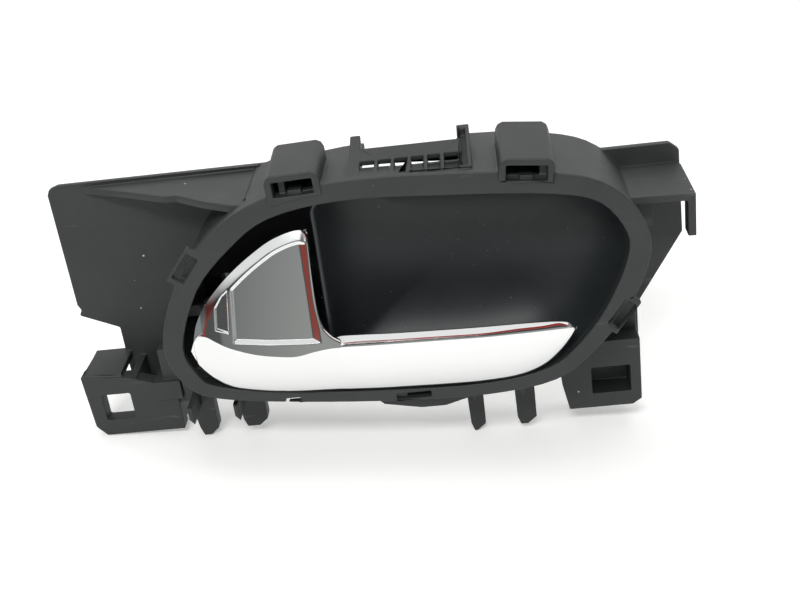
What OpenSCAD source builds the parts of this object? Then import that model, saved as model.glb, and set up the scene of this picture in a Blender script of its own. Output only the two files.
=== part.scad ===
// Interior door handle of a car: a black moulded housing with a finger cup and a chrome pull lever.
// X runs along the door with the lever's free end at +X, Y runs into the door and Z is up.
// The front of the ring lies in the plane Y = 0, and the origin is in the middle of its opening.

/* [Ring] */
// Length of the ring over its outer edge
ring_w = 154; // [140:1:170]
// Height of the ring over its outer edge
ring_h = 78; // [70:1:90]
// Thickness of the ring's flange
flange_t = 2.4; // [1.8:0.1:3]
// Width of the ring's face
face_w = 6; // [5:0.1:7]

/* [Housing] */
// Depth from the ring's front to the rear of the back plate
body_d = 40.5; // [36:0.5:46]
// Wall of the moulding
wall = 2.4; // [2:0.1:3]
// Reach of the left plate beyond the middle of the ring
plate_reach = 117; // [110:1:125]
// Height of the left plate's top edge
plate_top = 32; // [28:0.5:34]
// Depth of the fixing tabs' faces behind the ring's front
tab_y = 21; // [16:0.5:26]
// Height of the two clip hoods over the floor of their windows
hood_h = 7; // [6.6:0.1:8]
// Length of the support prongs below the middle of the ring
prong_low = 62; // [58:0.5:66]
// Thickness of the rib that each prong is
prong_t = 5; // [3:0.5:7]

/* [Finger cup] */
// Depth of the finger cup
cup_d = 26; // [20:0.5:30]
// Wall of the finger cup
cup_t = 1.8; // [1.4:0.1:2.4]

/* [Lever] */
// Wall of the lever's plated shell
shell_t = 1.8; // [1.4:0.1:2.2]
// Distance of the bar's crest in front of the ring
crest_y = 6; // [4:0.5:8]
// Depth of the shell's rim behind the ring's front
rim_y = 0.6; // [0:0.1:0.9]
// Width of the cable arm
arm_w = 6; // [5:0.5:8]
// Height of the cable arm
arm_h = 9; // [7:0.5:11]

/* [Hinge] */
// Hinge axis, left of the middle of the ring
hinge_x = -61; // [-63:0.5:-60]
// Hinge axis, behind the ring's front
hinge_y = 7; // [6.8:0.1:7.2]
// Radius of the hinge pin
pin_r = 2; // [1.5:0.1:2.4]
// Running clearance on the pin
fit = 0.05; // [0.03:0.01:0.08]
// Wall of the hinge bushes
bush_t = 1.2; // [0.8:0.1:1.5]
// Radius of the lever's hinge barrel
barrel_r = 4.4; // [4:0.1:5]
// Radius of the return spring's wire
wire_r = 0.6; // [0.4:0.05:0.8]
// Turns of the return spring
spring_turns = 3; // [2:1:4]
// Swing of the lever from rest to open, in degrees
swing = 25; // [15:1:27]

/* [Cable seat] */
// Distance of the cable behind the back plate
cable_back = 5.5; // [5.2:0.1:6.5]
// Radius of the cable sheath's seat
sheath_r = 3.1; // [2.5:0.1:3.5]
// Length of the cable sheath's seat
sheath_l = 9; // [7:0.5:12]
// Radius of the swivel that holds the cable's end
swivel_r = 2.8; // [2.4:0.1:3]
// Radius of the cable end's hole in the swivel
nipple_r = 1.2; // [0.8:0.1:1.4]

/* [Hidden] */

gap = 0.35;
kx = ring_w / 154;
kz = ring_h / 78;
plate_y = body_d - wall;

// Closed smooth curve through the given points
function spline_at(p, i, t) =
  let (n = len(p), a = p[(i + n - 1) % n], b = p[i], c = p[(i + 1) % n], d = p[(i + 2) % n])
  0.5 * ((2 * b) + (c - a) * t + (2 * a - 5 * b + 4 * c - d) * t * t
    + (3 * b - a - 3 * c + d) * t * t * t);
function closed_curve(p, steps) =
  [for (i = [0 : len(p) - 1]) for (s = [0 : steps - 1]) spline_at(p, i, s / steps)];
// Moves each point of a closed outline inwards by its own distance
function inset(p, d) =
  let (n = len(p))
  [for (i = [0 : n - 1])
    let (u = p[(i + 1) % n] - p[(i + n - 1) % n], v = [-u[1], u[0]] / norm(u)) p[i] + v * d[i]];
function same(d) = [for (p = ring_curve) d];
// Open smooth curve's value at x, through knots [x, value]
function knot_at(k, x, i = 0) =
  x <= k[0][0] ? k[0][1]
  : x >= k[len(k) - 1][0] ? k[len(k) - 1][1]
  : x <= k[i + 1][0]
    ? let (t = (x - k[i][0]) / (k[i + 1][0] - k[i][0]))
      k[i][1] + (k[i + 1][1] - k[i][1]) * t
    : knot_at(k, x, i + 1);

// Outer edge of the ring, anticlockwise from its left end, each point with the face's width there
ring_knots = [[-78.6, -12, 1.07], [-74, -26.5, 0.95], [-64, -32.4, 0.74], [-38, -36.3, 0.65],
  [-6, -39.1, 0.71], [22, -39.8, 0.73], [44, -36.6, 0.83], [57, -27, 0.92], [67.5, -14, 1.08],
  [74.5, 2, 1.12], [74, 14, 1.04], [64.5, 27, 1], [48, 33.3, 1.12], [15, 36.8, 1.16],
  [-16, 37.7, 1.05], [-40, 34.2, 1.07], [-56, 25.2, 1.2], [-70, 10, 1.14]];
ring_curve = closed_curve([for (k = ring_knots) [k[0] * kx, k[1] * kz, k[2]]], 4);
ring_edge = [for (p = ring_curve) [p[0], p[1]]];
ring_hole = inset(ring_edge, [for (p = ring_curve) p[2] * face_w]);
body_edge = inset(ring_edge, same(0.6));
body_hole = inset(ring_edge, same(0.6 + wall));

// Extrudes an outline drawn in X and Z from y1 to y2
module slab(y1, y2) {
  translate([0, y2, 0]) rotate([90, 0, 0]) linear_extrude(y2 - y1) children();
}
// Block between two corners
module box(a, b) {
  translate(a) cube(b - a);
}
// Upright round bar between two heights
module post(x, y, r, z1, z2) {
  translate([x, y, z1]) cylinder(r = r, h = z2 - z1, $fn = 48);
}
// Round bar along Y between two depths
module peg(x, z, r, y1, y2) {
  translate([x, y1, z]) rotate([-90, 0, 0]) cylinder(r = r, h = y2 - y1, $fn = 48);
}

// Extrudes a side view, drawn in Y and Z, from x1 to x2
module across(x1, x2) {
  translate([x1, 0, 0]) rotate([90, 0, 90]) linear_extrude(x2 - x1) children();
}

// Places along the ring that the fixings share
top_z = 37 * kz;
low_z = -40 * kz;
left_x = -76 * kx;
right_x = 74 * kx;

// Clip hoods over open windows. Each has the X and Z of the middle of its window's floor, its lean
// along the ring, its depth, the slope of its roof, and the two sides of a rib in the window.
hood_left = [-28.9 * kx, 34.9 * kz, 2, 24, 3, -4.7, -2.6];
hood_right = [39.6 * kx, 31.9 * kz, -6, 26, 5.5, 3.8, 6.2];
hood_half = 8.2;
hood_lip = 0.6;
window_half = 6.1;
window_d = 12;
roof_t = 2.2;
module at_hood(h) {
  translate([h[0], 0, h[1]]) rotate([0, -h[2], 0]) children();
}
module hood(h) at_hood(h) intersection() {
  rotate([h[4], 0, 0]) slab(-3, h[3] + 3)
    polygon([[-hood_half, -5], [hood_half, -5], [hood_half, hood_h - 2.4], [hood_half - 0.7, hood_h - 0.8],
      [hood_half - 2.2, hood_h], [2.2 - hood_half, hood_h], [0.7 - hood_half, hood_h - 0.8],
      [-hood_half, hood_h - 2.4]]);
  box([-hood_half - 1, -hood_lip, -5], [hood_half + 1, h[3], 3 * hood_h]);
}
module hood_cut(h) difference() {
  at_hood(h) difference() {
    box([-window_half, -2, 0], [window_half, window_d, hood_h - roof_t]);
    box([-2.1, 1, -1], [2.1, window_d + 1, 1.3]);
    box([h[5], 2.5, -1], [h[6], window_d + 1, hood_h]);
  }
  slab(flange_t - 0.2, window_d + 2) difference() {
    polygon(inset(ring_edge, same(1.6)));
    polygon(body_hole);
  }
}

// Grille between the hoods: a sloped plate on ribs over a slot in the top wall, between two posts
grille_x1 = -9.4 * kx;
grille_x2 = 20.4 * kx;
grille_y = 4.4;
grille_rise = 0.3;
grille_ribs = 5;
rib_w = 1.2;
post_w = 3.2;
post_end = 24.8;
plate_y1 = 11.8;
plate_y2 = 18;
slot_y1 = 9.6;
slot_y2 = 18.6;
function grille_z(y) = top_z - 0.2 + (y - grille_y) * grille_rise;
module wedge(x1, x2, y1, y2, t) across(x1, x2)
  polygon([[y1, grille_z(y1) - t], [y2, grille_z(y2) - t], [y2, grille_z(y2)], [y1, grille_z(y1)]]);
module grille() {
  wedge(grille_x1 - post_w, grille_x1, grille_y, post_end, 8);
  difference() {
    wedge(grille_x2, grille_x2 + post_w + 0.6, grille_y, post_end, 8);
    translate([0, 0, 2.4]) wedge(grille_x2 + 0.6, grille_x2 + 2.6, grille_y + 0.8, post_end - 2, 5);
  }
  wedge(grille_x1 - 1, grille_x2 + 1, plate_y1, plate_y2, 1.6);
  pitch = (grille_x2 - grille_x1) / (grille_ribs + 1);
  for (i = [1 : grille_ribs])
    wedge(grille_x1 + i * pitch - rib_w / 2, grille_x1 + i * pitch + rib_w / 2, grille_y, plate_y1 + 1, 5);
  box([grille_x1 - 1, slot_y1 - 1.4, top_z - 3], [grille_x2 + 1, slot_y1 - 0.2, top_z + 0.3]);
}
// Places where the top wall is open: the slot under the grille's plate, and behind the grille
module top_openings() {
  box([grille_x1, slot_y1, top_z - 7], [grille_x2, slot_y2, top_z + 3]);
  box([grille_x1, post_end + 1.8, top_z - 7], [grille_x2, body_d + 1, top_z + 3]);
  // The wall ends further forward at its left
  translate([0, 0, 18 * kz]) linear_extrude(30)
    polygon([[-28 * kx, body_d - 9], [60 * kx, body_d + 1], [-28 * kx, body_d + 1]]);
}

// Left plate with its folded top edge and the notch in its lower left corner
module left_plate() {
  slab(plate_y, body_d) difference() {
    polygon([[-plate_reach, plate_top - 3], [-plate_reach + 1, plate_top - 1],
      [-plate_reach + 4, plate_top], [-20 * kx, plate_top], [-20 * kx, -36 * kz], [-72 * kx, -36 * kz],
      [-plate_reach + 24, -28], [-plate_reach + 13, -22], [-plate_reach, -16], [-plate_reach + 1, -14],
      [-plate_reach, -12]]);
    translate([window_x1, window_z1]) square([window_x2 - window_x1, window_z2 - window_z1]);
  }
}
module top_ledge() {
  translate([0, 0, plate_top - wall - 1.5]) linear_extrude(wall)
    polygon([[-plate_reach + 12, plate_y], [-plate_reach + 29, 30], [-74 * kx, 22], [-70 * kx, 22],
      [-60 * kx, 14], [-50 * kx, 8], [-36 * kx, 8], [-34 * kx, plate_y + 1]]);
  translate([-46 * kx, 10, plate_top - 9]) cube([wall, plate_y - 9, 8.5]);
}
// Window in the plate through which the cable arm swings
window_x1 = hinge_x - arm_w / 2 - 4;
bumper_t = 1.5;
swivel_y = body_d + cable_back;
arm_end_r = swivel_r + 1.7;
travel_x = hinge_x + (swivel_y - hinge_y) * sin(swing) + arm_end_r + gap;
window_x2 = travel_x + 4;
arm_z = -12;
window_z1 = arm_z - arm_h / 2 - 2;
window_z2 = arm_z + arm_h / 2 + 2;

// Left tab: an open box with a square window, standing in front of the plate
tab_x1 = -plate_reach + 1;
tab_x2 = -84 * kx;
tab_top = -31.5;
tab_low = -55;
tab_win = 10;
module left_tab() {
  difference() {
    slab(tab_y, tab_y + 5.5)
      polygon([[tab_x1, tab_top], [tab_x1 + 1, tab_low + 3.5], [tab_x1 + 4, tab_low],
        [tab_x2, tab_low], [tab_x2, tab_top - 7], [tab_x1 + 16, tab_top - 1.5]]);
    box([tab_x1 + 5.6, tab_y - 1, tab_top - 7.6 - tab_win],
      [tab_x1 + 5.6 + tab_win, tab_y + 7, tab_top - 7.6]);
  }
  box([tab_x1 + 0.6, tab_y + 1, tab_top - wall], [tab_x1 + 14, body_d, tab_top]);
  box([tab_x1 + 12, plate_y, tab_low + 12], [tab_x2, body_d, -20]);
  box([tab_x1 + 16.5, tab_y + 1, tab_top - 14], [tab_x1 + 16.5 + wall, body_d, tab_top - 2]);
  box([tab_x2 - 7, tab_y - 1, tab_top - 11], [tab_x2 + 2, 31, tab_top - 4]);
  box([tab_x2 - wall, tab_y + 2, tab_low + 2], [tab_x2, body_d, tab_top - 4]);
  box([tab_x2 - 4, tab_y + 1, tab_low + 10], [-71 * kx, tab_y + 5.5, -24]);
}

// Right tab: a box with a pocket
rtab_x1 = 47 * kx;
rtab_x2 = 73.5 * kx;
rtab_low = -61.5;
module right_tab() {
  difference() {
    slab(tab_y, plate_y)
      polygon([[rtab_x1, -20 * kz], [rtab_x1, rtab_low + 10], [rtab_x1 + 2, rtab_low],
        [rtab_x2 - 3, rtab_low], [rtab_x2, rtab_low + 2], [rtab_x2, -20 * kz]]);
    box([rtab_x1 + 10, tab_y - 1, rtab_low + 5.5], [rtab_x2 - 3.6, tab_y + 9, rtab_low + 15.5]);
    box([rtab_x1 + wall, tab_y + 12, rtab_low + wall], [rtab_x2 - wall, body_d, -44]);
    box([rtab_x1 - 1, tab_y - 1, -36 * kz], [right_x, tab_y + 8, -15 * kz]);
  }
}

// Upper right bracket: an open box with a rear lip, on a slanted rear panel
brk_x = 90;
brk_z = 19;
module right_bracket() {
  difference() {
    translate([0, 0, brk_z - 14]) linear_extrude(14)
      polygon([[66 * kx, 10], [brk_x, 8], [brk_x, 34], [brk_x - 3, plate_y - 0.5],
        [60 * kx, plate_y - 0.5]]);
    box([60 * kx, 4, brk_z - 15], [brk_x - wall, 34, brk_z - wall]);
    box([brk_x - wall - 1, 14, brk_z - 15], [brk_x + 1, 34, brk_z - wall]);
  }
  slab(plate_y - wall, plate_y)
    polygon([[62 * kx, brk_z + 6.5], [brk_x - 3, brk_z + 6.5], [brk_x, brk_z + 4], [brk_x + 0.6, -5.6],
      [rtab_x2 + 1.5, -31], [rtab_x2 + 1.5, -56], [62 * kx, -50]]);
  box([70 * kx, 18, brk_z - 13.5], [72.5 * kx + 6, 20, brk_z - 1]);
}

// Prongs below the ring
module prong(x1, x2, low, taper) {
  slab(tab_y - 1, tab_y - 1 + prong_t)
    polygon([[x1 - taper, low_z + 4], [x1, low + 3], [x1 + 1, low], [x2 - 3, low], [x2, low + 2.5],
      [x2, low_z + 4]]);
  slab(6, tab_y + 3)
    polygon([[x1 + 1, low_z + 1.5], [x1 + 1, low_z - 3], [x1 + 2.6, low_z - 5], [x1 + 2.6, low_z + 1.5]]);
}
module prongs() {
  prong(-78.5 * kx, -72 * kx, 4 - prong_low, 3);
  prong(-63 * kx, -54.5 * kx, 6 - prong_low, 1);
  prong(15 * kx, 20 * kx, -4 - prong_low, 1);
  prong(31 * kx, 37.5 * kx, -3 - prong_low, 0.5);
  box([-80 * kx, tab_y - 1, low_z], [-52 * kx, tab_y + 8, low_z + 9]);
  box([12 * kx, tab_y - 1, low_z], [40 * kx, tab_y + 8, low_z + 6]);
  slab(5, 20)
    polygon([[-18 * kx, low_z + 3], [-12 * kx, low_z - 3], [0, low_z - 5.5], [8 * kx, low_z - 5.5],
      [15 * kx, low_z - 3.5], [18 * kx, low_z + 3]]);
}

// Small windows in lugs on the ring's edge
module lug(x, z, turn) {
  translate([x, 0, z]) rotate([0, -turn, 0]) box([-6.6, 0, -2.6], [6.6, flange_t, 2.9]);
}
module lug_slot(x, z, turn) {
  translate([x, 0, z]) rotate([0, -turn, 0]) box([-4.8, -1, -2.1], [4.8, flange_t + 1, 2.1]);
}
lug_left = [-66.2 * kx, 14.6 * kz, 51];
lug_right = [65.6 * kx, -15.4 * kz, 52];

// Hinge: two ears on the left wall, each with a flanged bush, and the lever's barrel between them
ear_t = 4;
ear_low = -27.6;
ear_high = -5;
bush_r = pin_r + fit + bush_t;
bush_rim = 1;
pin_head_t = 1.1;
pin_head_r = pin_r + 1.1;
ear_r = bush_r + 1.5;
spring_room = 6.2;
barrel_z1 = ear_low + ear_t + bush_rim + spring_room;
barrel_z2 = ear_high - bush_rim - gap;
spring_r = arm_w / 2 + wire_r + 0.1;
spring_z = ear_low + ear_t + bush_rim + wire_r + 0.2;
peg_r = 1;
peg_x = hinge_x - spring_r + wire_r + peg_r + 0.05;
peg_y = hinge_y + 8;
module ear(z, reach) {
  difference() {
    union() {
      box([left_x + 2, hinge_y - 0.5, z], [hinge_x, hinge_y + reach, z + ear_t]);
      post(hinge_x, hinge_y, ear_r, z, z + ear_t);
    }
    post(hinge_x, hinge_y, bush_r + fit, z - 1, z + ear_t + 1);
  }
}

// Channel behind the left plate for the cable sheath's holder
cable_y = swivel_y;
holder_x = -plate_reach + 12;
holder_h = 2 * sheath_r + 4.8;
slide_fit = 0.1;
rail_t = 1.8;
module holder_channel() {
  rail_z = holder_h / 2 + slide_fit + rail_t / 2;
  for (side = [-rail_z, rail_z])
    box([holder_x - 2, body_d - 0.2, arm_z + side - rail_t / 2],
      [holder_x + sheath_l + 2, body_d + 6, arm_z + side + rail_t / 2]);
  box([holder_x - 2, body_d - 0.2, arm_z - holder_h / 2 - 1],
    [holder_x - slide_fit, body_d + 1.2, arm_z + holder_h / 2 + 1]);
  for (x = [17, 29, 41] - plate_reach * [1, 1, 1])
    box([x, body_d - 0.2, 4], [x + 1.6, body_d + 4, plate_top - 3]);
  box([-plate_reach + 3, body_d - 0.2, 3], [-50, body_d + 4, 4.6]);
}

module housing() color("#26282a") difference() {
  union() {
    slab(0, flange_t) polygon(ring_edge);
    difference() {
      slab(flange_t - 0.2, plate_y + 0.2) difference() {
        polygon(body_edge);
        polygon(body_hole);
      }
      top_openings();
    }
    difference() {
      union() {
        hood(hood_left);
        hood(hood_right);
        grille();
        left_plate();
        top_ledge();
        left_tab();
        right_tab();
        right_bracket();
        prongs();
      }
      slab(-1, plate_y) polygon(body_hole);
    }
    lug(lug_left[0], lug_left[1], lug_left[2]);
    lug(lug_right[0], lug_right[1], lug_right[2]);
    ear(ear_low, 10);
    ear(ear_high, ear_r);
    post(peg_x, peg_y, peg_r, ear_low + ear_t - 0.2, ear_low + ear_t + 2.6);
    holder_channel();
  }
  slab(-1, flange_t + 1) polygon(ring_hole);
  hood_cut(hood_left);
  hood_cut(hood_right);
  lug_slot(lug_left[0], lug_left[1], lug_left[2]);
  lug_slot(lug_right[0], lug_right[1], lug_right[2]);
  slab(-1, flange_t + 1) {
    translate([-7 * kx, low_z + 1.4]) square([11, 2.2]);
    translate([-43 * kx, low_z + 4.2]) square([5, 1.3]);
  }
}

// Finger cup: a smooth bowl behind the ring's opening, right of the lever's paddle
cup_left = -24.5 * kx;
cup_rim = 1.2;
cup_x = 24 * kx;
cup_z = 5 * kz;
cup_steps = 7;
cup_pick = 2;
function pick(p) = [for (i = [0 : cup_pick : len(p) - 1]) p[i]];
function cup_clip(p, x) = [for (q = pick(p)) [max(q[0], x), q[1]]];
cup_room = [for (p = ring_curve) max(p[2] * face_w, 0.6 + wall + gap + cup_t)];
cup_mouth = cup_clip(inset(ring_edge, cup_room), cup_left);
cup_back = cup_clip(inset(ring_edge, [for (d = cup_room) d - cup_t]), cup_left - cup_t);
cup_edge = cup_clip(inset(body_hole, same(gap)), cup_left - cup_rim);
function bowl(p, y, d) = [for (k = [0 : cup_steps - 1])
  let (a = 88 * k / (cup_steps - 1), s = pow(cos(a), 0.55))
  [for (q = p) [cup_x + (q[0] - cup_x) * s, y + d * pow(sin(a), 0.8), cup_z + (q[1] - cup_z) * s]]];
module finger_cup() color("#1b2029") {
  n = len(cup_mouth);
  rings = concat([for (k = [cup_steps - 1 : -1 : 0]) bowl(cup_mouth, flange_t, cup_d)[k]],
    [[for (q = cup_edge) [q[0], flange_t, q[1]]]],
    [[for (q = cup_edge) [q[0], flange_t + cup_t, q[1]]]],
    bowl(cup_back, flange_t + cup_t, cup_d));
  m = len(rings);
  points = concat([for (r = rings) each r],
    [[cup_x, flange_t + cup_d, cup_z], [cup_x, flange_t + cup_t + cup_d, cup_z]]);
  faces = concat(
    [for (k = [0 : m - 2]) for (i = [0 : n - 1]) [k * n + i, k * n + (i + 1) % n, (k + 1) * n + i]],
    [for (k = [0 : m - 2]) for (i = [0 : n - 1])
      [k * n + (i + 1) % n, (k + 1) * n + (i + 1) % n, (k + 1) * n + i]],
    [for (i = [0 : n - 1]) [m * n, (i + 1) % n, i]],
    [for (i = [0 : n - 1]) [m * n + 1, (m - 1) * n + i, (m - 1) * n + (i + 1) % n]]);
  polyhedron(points, faces);
}

// Lever: lower and upper edge of the shell along X, and the depths of its crest and of its top edge
low_knots = [[-69.6, -15], [-69, -17.5], [-67.8, -20.5], [-65.5, -24.2], [-62, -27], [-56.5, -29],
  [-48, -30.6], [-38, -31.5], [-22, -32.7], [-6, -33.7], [10, -34.3], [26, -34.3], [32.6, -33.5],
  [40.7, -30.7], [45.6, -26.6], [49, -22.7], [51.4, -19]];
top_knots = [[-69.6, -13.6], [-68.3, -9.6], [-66.1, -4.7], [-63.4, -0.3], [-60.8, 2.5], [-57, 6.8],
  [-49.8, 13.3], [-43, 17.3], [-36.4, 20.2], [-33.5, 20.4], [-30, 19.2], [-28.6, 17], [-27.8, 14],
  [-27.2, -8], [-24.5, -12.2], [-22, -12.9], [12, -14.3], [48, -15.8], [50.1, -16.4], [51.4, -18]];
crest_knots = [[-69.6, 0], [-67.5, 0.45], [-63, 0.8], [-55, 0.95], [-20, 1.05], [20, 0.85], [44, 0.6],
  [49, 0.45], [51.4, 0]];
lean_knots = [[-69.6, 0.3], [-63.4, 1.5], [-49.8, 5], [-36.4, 8], [-28.6, 7.5], [-27.6, 6.5],
  [-27.2, -3.6], [-20, -4], [20, -3], [48, -1.4], [51.4, 0.3]];
side_knots = [[-69.6, 0.4], [-63.4, 0.6], [-57, 2.5], [-49.8, 5], [-28.6, 5], [-27.8, 4.6],
  [-27.2, 4.4], [-20, 4.8], [20, 3.8], [48, 2.2], [51.4, 0.6]];
lever_stops = [-69.6, -69, -68.3, -67.2, -65.5, -63.4, -60.8, -57, -53, -49.8, -46, -43, -39.5, -36.4,
  -33.5, -31.4, -30, -29.2, -28.6, -27.8, -27.2, -24.5, -22, -14, -6, 2, 10, 18, 26, 32.6, 37, 40.7,
  43.4, 45.6, 47.6, 49, 50.3, 51.4];
// The convex face from the lower edge to the crest: height and depth as shares of the whole
face_knots = [[0, 0], [0.01, 0.25], [0.07, 0.45], [0.25, 0.64], [0.5, 0.83], [0.75, 0.95], [0.92, 1]];
function low_at(x) = knot_at(low_knots, x / kx) * kz;
function top_at(x) = knot_at(top_knots, x / kx) * kz;
function bar_top_at(x) = min(top_at(x), knot_at([[-69.6, -13.6], [-66, -11.5], [-24, -12.4], [12, -14.3],
  [48, -15.8], [51.4, -18]], x / kx) * kz);
// Section of the shell at x, from its lower rim over the crest to its upper rim, moved inwards by t.
// Beside the paddle's steep right edge the inner surface already has the bar's form.
function section(x, t) =
  let (h = top_at(x) - low_at(x), w = min(t, 0.3 * h),
    x3 = top_at(x + w) < top_at(x) - 6 ? x + w : x,
    z1 = low_at(x) + w, z3 = min(top_at(x3), top_at(x - w)) - w,
    z2 = min(bar_top_at(x) - w, z3), y1 = rim_y, y2 = -crest_y * knot_at(crest_knots, x / kx) + w,
    y3 = knot_at(lean_knots, x3 / kx) + w, y4 = max(y3 - w + knot_at(side_knots, x3 / kx), y3 + 0.1))
  concat([for (f = face_knots) [x, y1 + (y2 - y1) * f[1], z1 + (z2 - z1) * f[0]]],
    [for (f = [0.1, 0.5, 0.9]) [x, y2 + (y3 - y2) * f, z2 + (z3 - z2) * f]],
    [[x, y3 + (y4 - y3) * 0.1, z3], [x, y4, z3]]);
shell_boss_r = 2.6;
screw_r = 1.1;
screw_hole_r = screw_r + fit;
shell_screw_places = [[-50 * kx, -22.5 * kz], [18 * kx, -24 * kz]];
carrier_t = 1.4;
module lever_shell() color("#d8dadc") difference() {
  union() {
    shell_skin();
    for (p = shell_screw_places) peg(p[0], p[1], shell_boss_r, 0.6 - crest_y / 2, rim_y);
  }
  for (p = shell_screw_places) peg(p[0], p[1], screw_hole_r, -1.6, rim_y + 1);
  post(hinge_x, hinge_y, ear_r + gap, ear_high - gap, ear_high + ear_t + gap);
  post(hinge_x, hinge_y, pin_head_r + gap, ear_high, ear_high + ear_t + pin_head_t + gap);
}
function quad(a, b, c, d) = [[a, b, c], [a, c, d]];
module shell_skin() {
  outer = [for (x = lever_stops) section(x * kx, 0)];
  inner = [for (x = lever_stops) section(x * kx, shell_t)];
  n = len(outer[0]);
  m = len(outer);
  o = m * n;
  points = concat([for (s = outer) each s], [for (s = inner) each s]);
  faces = [for (q = concat(
    [for (k = [0 : m - 2]) for (i = [0 : n - 2])
      quad(k * n + i, k * n + i + 1, (k + 1) * n + i + 1, (k + 1) * n + i)],
    [for (k = [0 : m - 2]) for (i = [0 : n - 2])
      quad(o + k * n + i, o + (k + 1) * n + i, o + (k + 1) * n + i + 1, o + k * n + i + 1)],
    [for (k = [0 : m - 2]) quad(k * n, (k + 1) * n, o + (k + 1) * n, o + k * n)],
    [for (k = [0 : m - 2])
      quad(k * n + n - 1, o + k * n + n - 1, o + (k + 1) * n + n - 1, (k + 1) * n + n - 1)],
    [for (i = [0 : n - 2]) quad(i, o + i, o + i + 1, i + 1)],
    [for (i = [0 : n - 2], e = (m - 1) * n) quad(e + i, e + i + 1, o + e + i + 1, o + e + i)]
    )) each q];
  polyhedron(points, faces);
}

// Black carrier behind the shell, with the hinge barrel and the cable arm
module lever_carrier() color("#1c1d1f") difference() {
  union() {
    slab(rim_y, rim_y + carrier_t) polygon(concat(
      [for (x = [-64, -58, -48, -36, -22, -6, 10, 26, 34, 41, 45, 48]) [x * kx, low_at(x * kx) + 0.7]],
      [for (x = [48, 12, -22, -27, -30]) [x * kx, bar_top_at(x * kx) - 2.2]],
      [[-32 * kx, -5], [-50 * kx, -5], [-60 * kx, -8.5], [-64 * kx, -12]]));
    post(hinge_x, hinge_y, barrel_r, barrel_z1, barrel_z2);
    box([hinge_x - barrel_r, rim_y + 0.7, barrel_z1], [hinge_x + barrel_r, hinge_y, arm_z + 1]);
    box([hinge_x - 2, rim_y + carrier_t, arm_z], [hinge_x + barrel_r, hinge_y, barrel_z2]);
    box([hinge_x - arm_w / 2, hinge_y, arm_z - arm_h / 2],
      [hinge_x + arm_w / 2, swivel_y, arm_z + arm_h / 2]);
    post(hinge_x, swivel_y, arm_end_r, arm_z - arm_h / 2, arm_z + arm_h / 2);
    box([hinge_x - 1, hinge_y + 6, arm_z - arm_h / 2 - 3.6], [hinge_x + arm_w / 2, hinge_y + 10, arm_z]);
    box([hinge_x + 2, rim_y + 0.2, arm_z - 1], [hinge_x + 24, rim_y + 4, arm_z + 1]);
  }
  post(hinge_x, hinge_y, pin_r + fit, ear_low, ear_high + ear_t);
  post(hinge_x, swivel_y, swivel_r + fit, arm_z - arm_h, arm_z + arm_h);
  box([hinge_x - 8, swivel_y - 1.4, arm_z - 1.4], [hinge_x + 0.5, swivel_y + 1.4, arm_z + 1.4]);
  for (p = shell_screw_places) peg(p[0], p[1], screw_hole_r, rim_y - 1, rim_y + 3);
}

// Screws that hold the shell on its carrier
screw_head_r = 2.2;
module shell_screws() color("#8d8f92") for (p = shell_screw_places) {
  peg(p[0], p[1], screw_r, -1.2, rim_y + carrier_t + 0.1);
  difference() {
    peg(p[0], p[1], screw_head_r, rim_y + carrier_t, rim_y + carrier_t + 1.3);
    for (turn = [0, 90]) translate([p[0], rim_y + carrier_t + 1.3, p[1]]) rotate([0, turn, 0])
      cube([2.4, 1.4, 0.5], center = true);
  }
}

// Hinge pin with a head above the upper ear and a push-on ring below the lower one
module hinge_pin() color("#9a9da1") {
  post(hinge_x, hinge_y, pin_r, ear_low - 1.5, ear_high + ear_t + 0.1);
  post(hinge_x, hinge_y, pin_head_r, ear_high + ear_t, ear_high + ear_t + pin_head_t);
}
module pin_clip() color("#7c7f83") difference() {
  post(hinge_x, hinge_y, pin_r + 2, ear_low - 0.9, ear_low - 0.1);
  post(hinge_x, hinge_y, pin_r + fit, ear_low - 1, ear_low);
}
module bush(z, rim_z) {
  difference() {
    union() {
      post(hinge_x, hinge_y, bush_r, z, z + ear_t);
      post(hinge_x, hinge_y, bush_r + 0.8, rim_z, rim_z + bush_rim);
    }
    post(hinge_x, hinge_y, pin_r + fit, z - 2, z + ear_t + 2);
  }
}
module hinge_bush_upper() color("#d9d6c8") bush(ear_high, ear_high - bush_rim);
module hinge_bush_lower() color("#d9d6c8") bush(ear_low, ear_low + ear_t);

// Return spring: a coil on the pin with one leg on the housing's peg and one on the lever's lug
spring_pitch = (barrel_z1 - spring_z - wire_r - 0.3) / (spring_turns + 0.5);
spring_steps = 16;
spring_end = (spring_turns + 0.5) * spring_steps;
leg_l = 10;
coil = [for (i = [0 : spring_end])
  let (a = 180 + 360 * i / spring_steps)
  [hinge_x + spring_r * cos(a), hinge_y - spring_r * sin(a), spring_z + spring_pitch * i / spring_steps]];
spring_path = concat([coil[0] + [0, leg_l, 0]], coil, [coil[spring_end] + [0, leg_l, 0]]);
function heading(p, i) =
  let (u = p[min(i + 1, len(p) - 1)] - p[max(i - 1, 0)]) u / norm(u);
function wire_ring(p, i, r, sides) =
  let (u = heading(p, i), v = [u[1], -u[0], 0] / norm([u[1], -u[0]]), w = cross(u, v))
  [for (k = [0 : sides - 1]) p[i] + r * (cos(360 * k / sides) * v + sin(360 * k / sides) * w)];
module wire(p, r, sides) {
  n = len(p);
  faces = concat([[for (k = [0 : sides - 1]) k]],
    [for (i = [0 : n - 2]) for (k = [0 : sides - 1])
      for (f = quad(i * sides + k, (i + 1) * sides + k, (i + 1) * sides + (k + 1) % sides,
        i * sides + (k + 1) % sides)) f],
    [[for (k = [sides - 1 : -1 : 0]) (n - 1) * sides + k]]);
  polyhedron([for (i = [0 : n - 1]) each wire_ring(p, i, r, sides)], faces);
}
module return_spring() color("#a4a7ab") wire(spring_path, wire_r, 6);

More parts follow.
